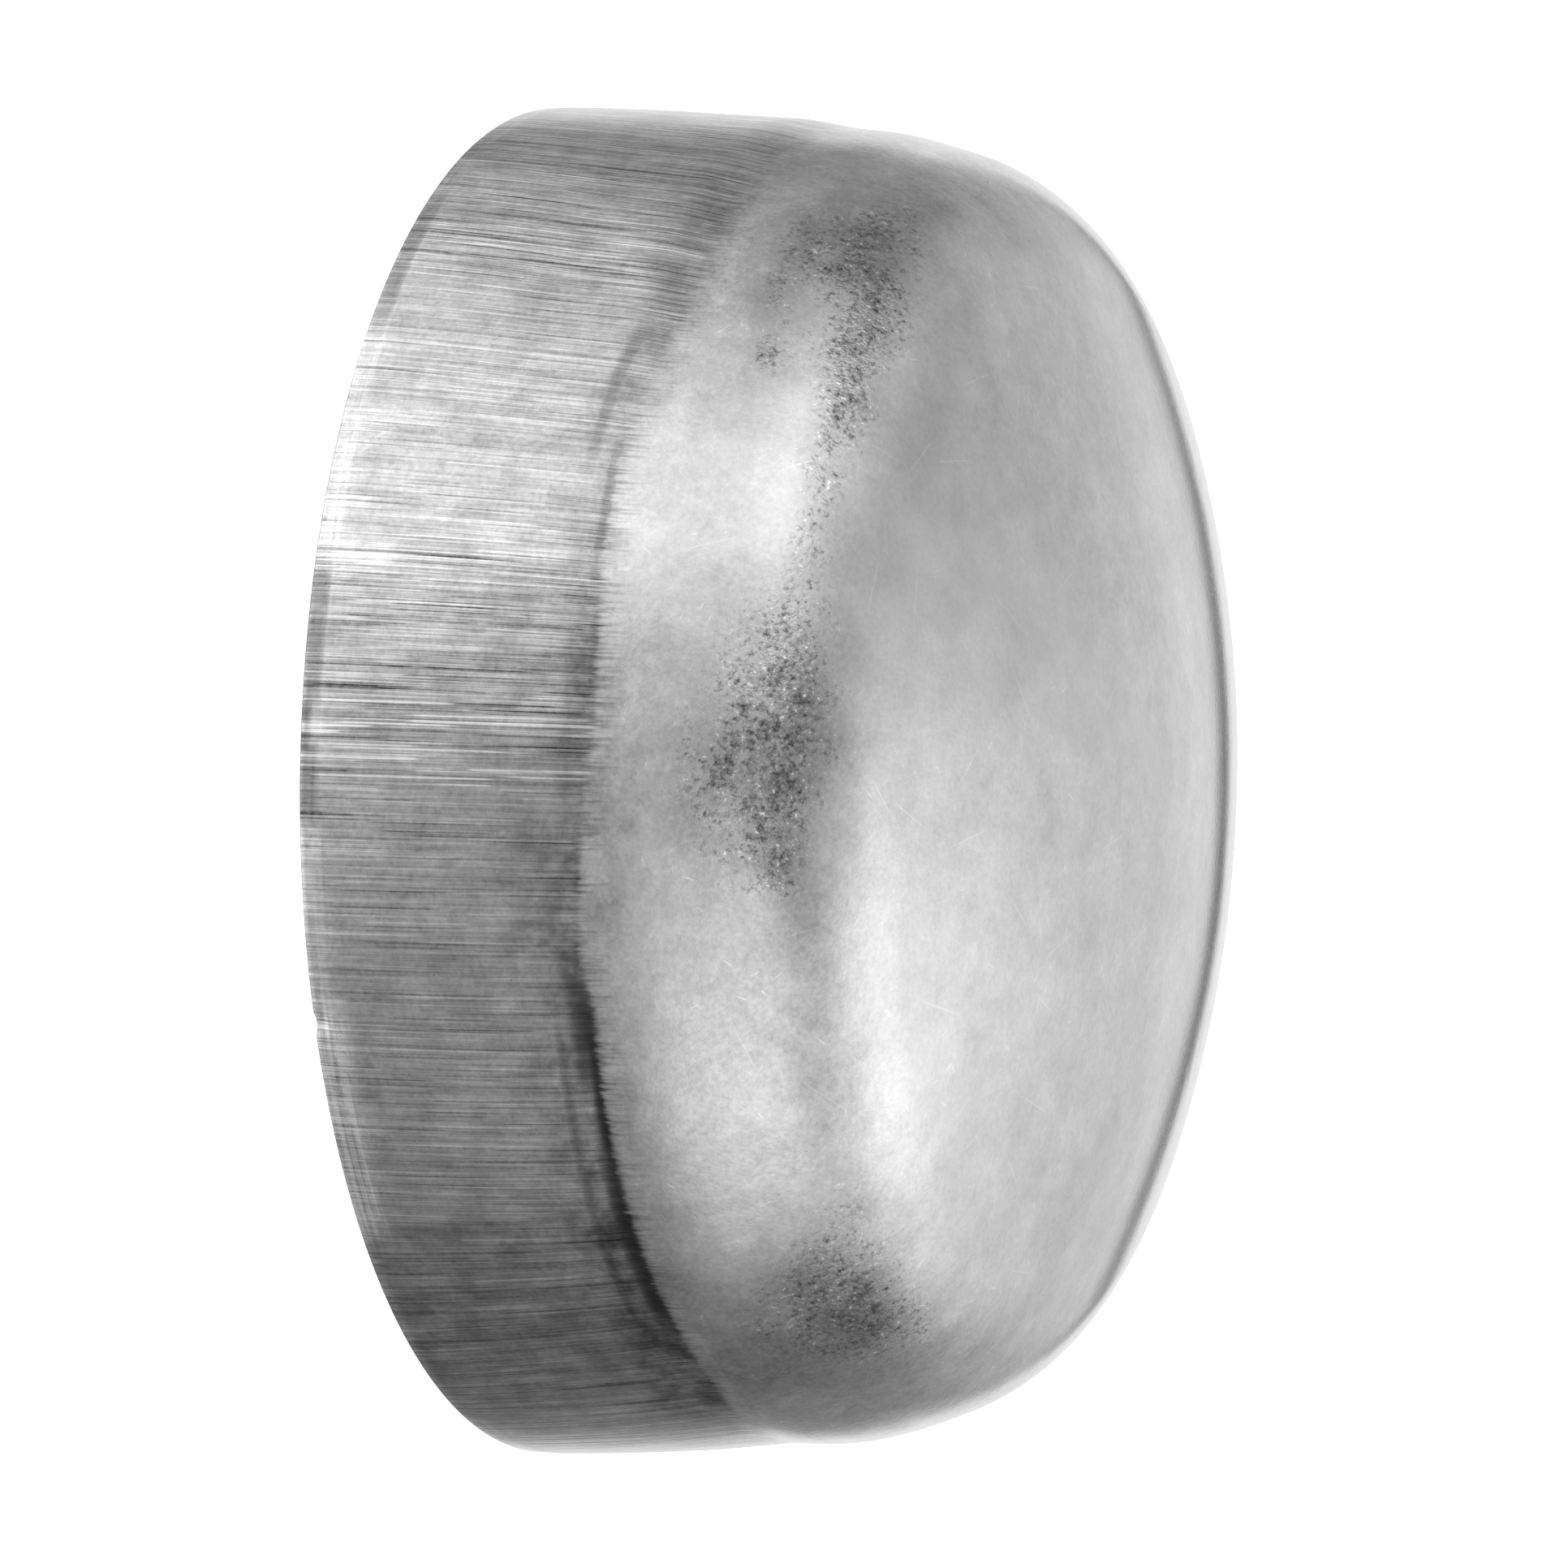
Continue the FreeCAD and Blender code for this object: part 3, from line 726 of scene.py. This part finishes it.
def blasted(add, mm, finish):
    """Colour, gloss and relief in mm of pressed stainless blasted with fine grit: an even satin.

    The crown is smoother, with hair scratches and tiny bright specks, and the shoulder is mottled
    with rough, pitted, darker skin where the plate was stretched."""
    # worn darkens the blasting beside the grinding with wear and painted shade
    scuffs, patch, worn, pale = (
        add("Attribute", attribute_name=name).outputs["Fac"]
        for name in ("satin_scuffs", "rough_patch", "worn_satin", "satin_cloud"))
    height = add("SeparateXYZ", {0: mm}).outputs["Z"]
    lower = add("MapRange", {0: height, 1: 30.5, 2: 27.0, 3: 0.5, 4: 1.0})
    shoulder = layered(add, 0.0, (1.0, scuffs, lower))
    # the grain is 0.3 mm and the scratches are 0.1 mm wide, coarser than the grit's own, so that they show;
    # rough skin has pits of a third of a mm, in clumps of 1.2 mm, with painted glints between them
    grain, haze, pit, clump = (
        add("TexNoise", {"Vector": mm, "Scale": scale, "Detail": detail,
                         "Roughness": roughness}, normalize=False)
        for scale, detail, roughness in ((0.66 * MM / finish.grain, 2.0, 0.75), (1.0 / 4.0, 3.0, 0.6),
                                         (1.0 / 0.34, 2.0, 0.8), (1.0 / 1.2, 2.0, 0.7)))
    strokes, specks = strokes_and_specks(add, mm, cell=1.5, half_width=0.06, half_run=0.36, speck=0.05)
    hairs, large_specks = strokes_and_specks(add, mm, cell=5.0, half_width=0.045, half_run=2.0, speck=0.08)
    scuffed = add("MapRange", {0: haze, 1: 0.05, 2: 0.5})
    thick = add("MapRange", {0: clump, 1: -0.5, 2: 0.75, 3: 0.27, 4: 1.36})
    skin = layered(add, 0.0, (1.0, patch, thick))
    in_skin = add("MapRange", {0: skin, 1: 0.05, 2: 0.40})
    pitted = add("MapRange", {0: layered(add, pit, (0.40, skin)), 1: 0.12, 2: 1.45})
    glint = add("MapRange", {0: pit, 1: -0.7, 2: -1.0})
    # pale adds painted highlights and painted shade; glint adds painted glints in the rough skin
    level = layered(add, 1.0, (-1.0, worn), (1.0, pale), (0.14, grain, shoulder), (0.04, haze),
                    (0.13, haze, shoulder), (0.11, clump, shoulder), (0.38, strokes, shoulder, scuffed),
                    (0.15, hairs), (0.5, specks), (0.4, large_specks), (-0.25, skin), (-0.15, patch),
                    (0.85, glint, in_skin))
    plain = add("VectorMath", {0: tuple(finish.blasted)[:3], "Scale": level}, operation="SCALE")
    dark = layered(add, 0.0, (0.95, pitted, in_skin))
    colour = add("Mix", {"Factor": dark, "A": plain, "B": tuple(finish.rough)}, data_type="RGBA")
    gloss = layered(add, finish.blasted_roughness, (0.02, haze), (0.08, dark))
    relief = layered(add, 0.0, (0.0016, grain, shoulder), (0.0015, pit), (-0.011, pit, patch))
    return colour, gloss, relief


def grinding_edge(add, mm, ground, satin):
    """Colour, gloss and relief where the ground steel meets the blasted: a ragged edge.

    Thin dark marks of the belt's edge run on past it for a mm or two."""
    above = add("Attribute", attribute_name="above_grinding").outputs["Fac"]
    lie = rim_place(add, mm, 0.0)
    ragged = belt_marks(add, lie, 0.22, 1.8, 2.0)
    overrun = belt_marks(add, lie, 0.16, 3.0, 1.0)
    is_ground = layered(add, above, (-0.36, ragged))
    is_ground = add("MapRange", {0: is_ground, 1: 0.30, 2: -0.30})
    overrun_marks = [add("MapRange", {0: value, 1: none, 2: full}) for value, none, full in (
        (overrun, -0.05, 0.45), (above, 1.7, 0.0), (above, -0.7, 0.0))]
    worn = layered(add, 1.0, (-0.36, *overrun_marks))
    colour, gloss, relief = (
        add("Mix", {"Factor": is_ground, "A": a, "B": b}, data_type=kind)
        for a, b, kind in zip(satin, ground, ("RGBA", "FLOAT", "FLOAT")))
    colour = add("VectorMath", {0: colour, "Scale": worn}, operation="SCALE")
    return colour, gloss, relief


def bare_steel(add, colour, gloss, relief, depth):
    """Ends a material as bare metal; depth is what one unit of the relief is, in metres."""
    bump = add("Bump", {"Height": relief, "Distance": depth, "Strength": 1.0})
    shader = add("BsdfPrincipled", {"Base Color": colour, "Metallic": 1.0,
                                    "Roughness": gloss, "Normal": bump})
    add("OutputMaterial", {"Surface": shader})


def outside_steel(name, finish, is_ground, is_blasted):
    """The outside of the cap, one pressed stainless plate, with one finish or the edge between both."""
    material, add = new_material(name)
    place = add("TexCoord").outputs["Object"]
    mm = add("VectorMath", {0: place, "Scale": 1.0 / MM}, operation="SCALE")
    looks = []
    if is_ground:
        looks.append(belt_ground(add, mm, finish))
    if is_blasted:
        looks.append(blasted(add, mm, finish))
    colour, gloss, relief = looks[0] if len(looks) == 1 else grinding_edge(add, mm, *looks)
    # at a glancing angle a satin metal turns mirror-like
    facing = add("LayerWeight", {"Blend": 0.5}).outputs["Facing"]
    mirror = add("MapRange", {0: facing, 1: 0.66, 2: 0.82, 3: 1.0, 4: 0.2})
    bare_steel(add, colour, layered(add, 0.0, (1.0, gloss, mirror)), relief, MM)
    return material


def turned_steel(finish):
    """Turned stainless: smooth, with soft shades round the end face and fine rings on its edges."""
    material, add = new_material("turned_stainless")
    place = add("TexCoord").outputs["Object"]
    # the shades are 25 mm long, and the rings 0.11 mm high
    rings = add("Mapping", {"Vector": place, "Scale": (40.0, 40.0, 9000.0)})
    ring = add("TexNoise", {"Vector": rings, "Scale": 1.0, "Detail": 2.0})
    level = add("MapRange", {0: ring, 1: 0.3, 2: 0.7, 3: 0.75, 4: 1.1})
    colour = add("VectorMath", {0: tuple(finish.turned)[:3], "Scale": level}, operation="SCALE")
    bare_steel(add, colour, 0.3, ring, 0.01 * MM)
    return material


def pickled_steel(finish):
    """Inside of the pressing, pickled in acid: even, matt and a little darker."""
    material, add = new_material("pickled_stainless")
    place = add("TexCoord").outputs["Object"]
    # clouds of 4 mm and a grain of a quarter of a mm
    cloud, grain = (add("TexNoise", {"Vector": place, "Scale": scale, "Detail": detail})
                    for scale, detail in ((250.0, 5.0), (4000.0, 2.0)))
    level = add("MapRange", {0: cloud, 1: 0.3, 2: 0.7, 3: 0.85, 4: 1.1})
    colour = add("VectorMath", {0: tuple(finish.inside)[:3], "Scale": level}, operation="SCALE")
    bare_steel(add, colour, 0.48, grain, 0.015 * MM)
    return material


class WELDCAP_OT_shell(bpy.types.Operator):
    """Turn, grind and blast the cap's shell"""

    bl_idname = "weld_cap.shell"
    bl_label = "Shell"
    bl_options = {"REGISTER", "UNDO"}

    def execute(self, context):
        sizes, finish = context.scene.weld_cap_sizes, context.scene.weld_cap_finish
        piece, runs = draw_section("cap_shell", sizes)
        rows = np.array([(v.co.x, v.co.z) for v in piece.data.vertices]) / MM
        turn_section(piece, sizes.around)
        names, above = shape_shell(piece, rows, runs, sizes)
        looks = {
            "ground": outside_steel("belt_ground_stainless", finish, True, False),
            "blasted": outside_steel("blasted_stainless", finish, False, True),
            "edge": outside_steel("grinding_edge_stainless", finish, True, True),
            "face": turned_steel(finish),
            "inside": pickled_steel(finish),
        }
        for material in looks.values():
            piece.data.materials.append(material)
        slots = {look: slot for slot, look in enumerate(looks)}
        is_ground, is_blasted = above < EDGE_ZONE[0], above > EDGE_ZONE[1]
        for face in piece.data.polygons:
            points = list(face.vertices)
            runs_here = set(names[points])
            if "inside" in runs_here:
                look = "inside"
            elif "face" in runs_here:
                look = "face"
            elif is_ground[points].all():
                look = "ground"
            else:
                look = "blasted" if is_blasted[points].all() else "edge"
            face.material_index = slots[look]
        alone(piece)
        bpy.ops.object.shade_smooth_by_angle(angle=math.radians(28.0))
        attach(piece, "root")
        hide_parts("weld_cap")
        return {"FINISHED"}


class WELDCAP_OT_studio(bpy.types.Operator):
    """Lay the floor, set the soft light and place the camera"""

    bl_idname = "weld_cap.studio"
    bl_label = "Studio"
    bl_options = {"REGISTER", "UNDO"}

    def execute(self, context):
        studio = context.scene.weld_cap_studio
        lay_floor(studio)
        set_light(context.scene)
        place_camera(context.scene, studio)
        return {"FINISHED"}


def lay_floor(studio):
    """A plain light table. It is kept out of the steel's reflections, as a cut-out white ground is."""
    bpy.ops.object.select_all(action="DESELECT")
    bpy.ops.mesh.primitive_plane_add(size=studio.floor_side, location=(0.0, 0.0, 0.0))
    floor = bpy.context.object
    floor.name = floor.data.name = "floor"
    material, add = new_material("white_light_table")
    shader = add("BsdfPrincipled", {"Base Color": tuple(studio.floor), "Roughness": 0.9,
                                    "Emission Color": (1.0, 1.0, 1.0, 1.0),
                                    "Emission Strength": studio.floor_glow})
    add("OutputMaterial", {"Surface": shader})
    floor.data.materials.append(material)
    floor.visible_glossy = False
    floor.visible_shadow = False


def sky_point(azimuth, elevation):
    """The unit vector towards a point of the sky, given in degrees."""
    azimuth, elevation = math.radians(azimuth), math.radians(elevation)
    level = math.cos(elevation)
    return math.cos(azimuth) * level, math.sin(azimuth) * level, math.sin(elevation)


def set_light(scene):
    """A tent of even light with a few large soft boxes, drawn on the world round the cap."""
    world = bpy.data.worlds.new("studio_light")
    world.use_nodes = True
    scene.world = world
    world.node_tree.nodes.clear()
    add = partial(node, world.node_tree)
    way = add("TexCoord").outputs["Generated"]
    level = SKY_LEVEL
    for name, azimuth, elevation, half_width, strength in SOFT_LIGHTS:
        middle = sky_point(azimuth, elevation)
        facing = add("VectorMath", {0: way, 1: middle}, operation="DOT_PRODUCT")
        sharpness = math.log(2.0) / (1.0 - math.cos(math.radians(half_width)))
        fall = add("Math", {0: facing, 1: sharpness, 2: -sharpness}, operation="MULTIPLY_ADD")
        glow = add("Math", {0: fall}, operation="EXPONENT")
        level = add("Math", {0: glow, 1: strength, 2: level}, operation="MULTIPLY_ADD", label=name)
    # the steel mirrors the far end of the white table at its rounded edges, and the gap behind it
    azimuth, elevation, half_width, softness, table_level = FAR_TABLE
    middle = sky_point(azimuth, elevation)
    facing = add("VectorMath", {0: way, 1: middle}, operation="DOT_PRODUCT")
    across, _, rise = add("SeparateXYZ", {0: way}).outputs
    near = add("MapRange", {0: facing, 1: math.cos(math.radians(half_width + softness)),
                            2: math.cos(math.radians(half_width - softness))})
    under = add("Math", {0: rise, 1: 0.0}, operation="LESS_THAN")
    is_far = layered(add, 0.0, (1.0, near, under))
    level = add("Mix", {"Factor": is_far, "A": level, "B": table_level}, data_type="FLOAT")
    for azimuth, half_width, start, full, last, end, depth in HORIZON_GAPS:
        off = add("Math", {0: across, 1: math.cos(math.radians(azimuth))}, operation="SUBTRACT")
        aside = layered(add, 0.0, (-math.log(2.0) / math.sin(math.radians(half_width)) ** 2, off, off))
        aside = add("Math", {0: aside}, operation="EXPONENT")
        sines = [math.sin(math.radians(v)) for v in (start, full, last, end)]
        lower = add("MapRange", {0: rise, 1: sines[0], 2: sines[1]})
        upper = add("MapRange", {0: rise, 1: sines[3], 2: sines[2]})
        level = layered(add, 0.0, (1.0, level, layered(add, 1.0, (-depth, aside, lower, upper))))
    light = add("Background", {"Color": (1.0, 1.0, 1.0, 1.0), "Strength": level})
    add("OutputWorld", {"Surface": light})
    scene.view_settings.view_transform = "Standard"


def place_camera(scene, studio):
    """A long lens at the photograph's angle, rolled so that the cap's axis lies across the picture."""
    data = bpy.data.cameras.new("camera")
    data.sensor_width = 36.0
    data.lens = studio.lens
    data.clip_start, data.clip_end = 0.05, 20.0
    camera = bpy.data.objects.new("camera", data)
    scene.collection.objects.link(camera)
    back = Vector((0.0, -math.cos(studio.elevation), math.sin(studio.elevation)))
    camera.location = Vector((0.0, 0.0, ORBIT_HEIGHT * MM)) + back * studio.distance
    forward = (Vector(CAMERA_AIM) * MM - camera.location).normalized()
    axis = Vector((0.0, 0.0, 1.0))
    right = (axis - forward * axis.dot(forward)).normalized()
    up = right.cross(forward)
    roll = math.radians(CAMERA_ROLL)
    right = right * math.cos(roll) - up * math.sin(roll)
    up = right.cross(forward)
    camera.rotation_euler = Matrix((right, up, -forward)).transposed().to_euler()
    scene.camera = camera


class WELDCAP_PT_panel(bpy.types.Panel):
    """Sizes, finishes and steps of the butt weld cap"""

    bl_idname = "WELDCAP_PT_panel"
    bl_label = "Butt Weld Cap"
    bl_space_type = "VIEW_3D"
    bl_region_type = "UI"
    bl_category = "Weld Cap"

    def draw(self, context):
        for title, group, operator in (("Sizes", context.scene.weld_cap_sizes, None),
                                       ("Finish", context.scene.weld_cap_finish, WELDCAP_OT_shell),
                                       ("Studio", context.scene.weld_cap_studio, WELDCAP_OT_studio)):
            box = self.layout.box()
            box.label(text=title)
            for name in group.__annotations__:
                box.prop(group, name)
            if operator:
                box.operator(operator.bl_idname)


CLASSES = (WeldCapSizes, WeldCapFinish, WeldCapStudio,
           WELDCAP_OT_shell, WELDCAP_OT_studio, WELDCAP_PT_panel)


def register():
    for cls in CLASSES:
        bpy.utils.register_class(cls)
    bpy.types.Scene.weld_cap_sizes = PointerProperty(type=WeldCapSizes)
    bpy.types.Scene.weld_cap_finish = PointerProperty(type=WeldCapFinish)
    bpy.types.Scene.weld_cap_studio = PointerProperty(type=WeldCapStudio)


def unregister():
    del bpy.types.Scene.weld_cap_studio
    del bpy.types.Scene.weld_cap_finish
    del bpy.types.Scene.weld_cap_sizes
    for cls in reversed(CLASSES):
        bpy.utils.unregister_class(cls)


def main():
    """Registers the add-on, makes each piece and the studio."""
    register()
    bpy.ops.weld_cap.shell()
    bpy.ops.weld_cap.studio()


if __name__ == "__main__":
    main()
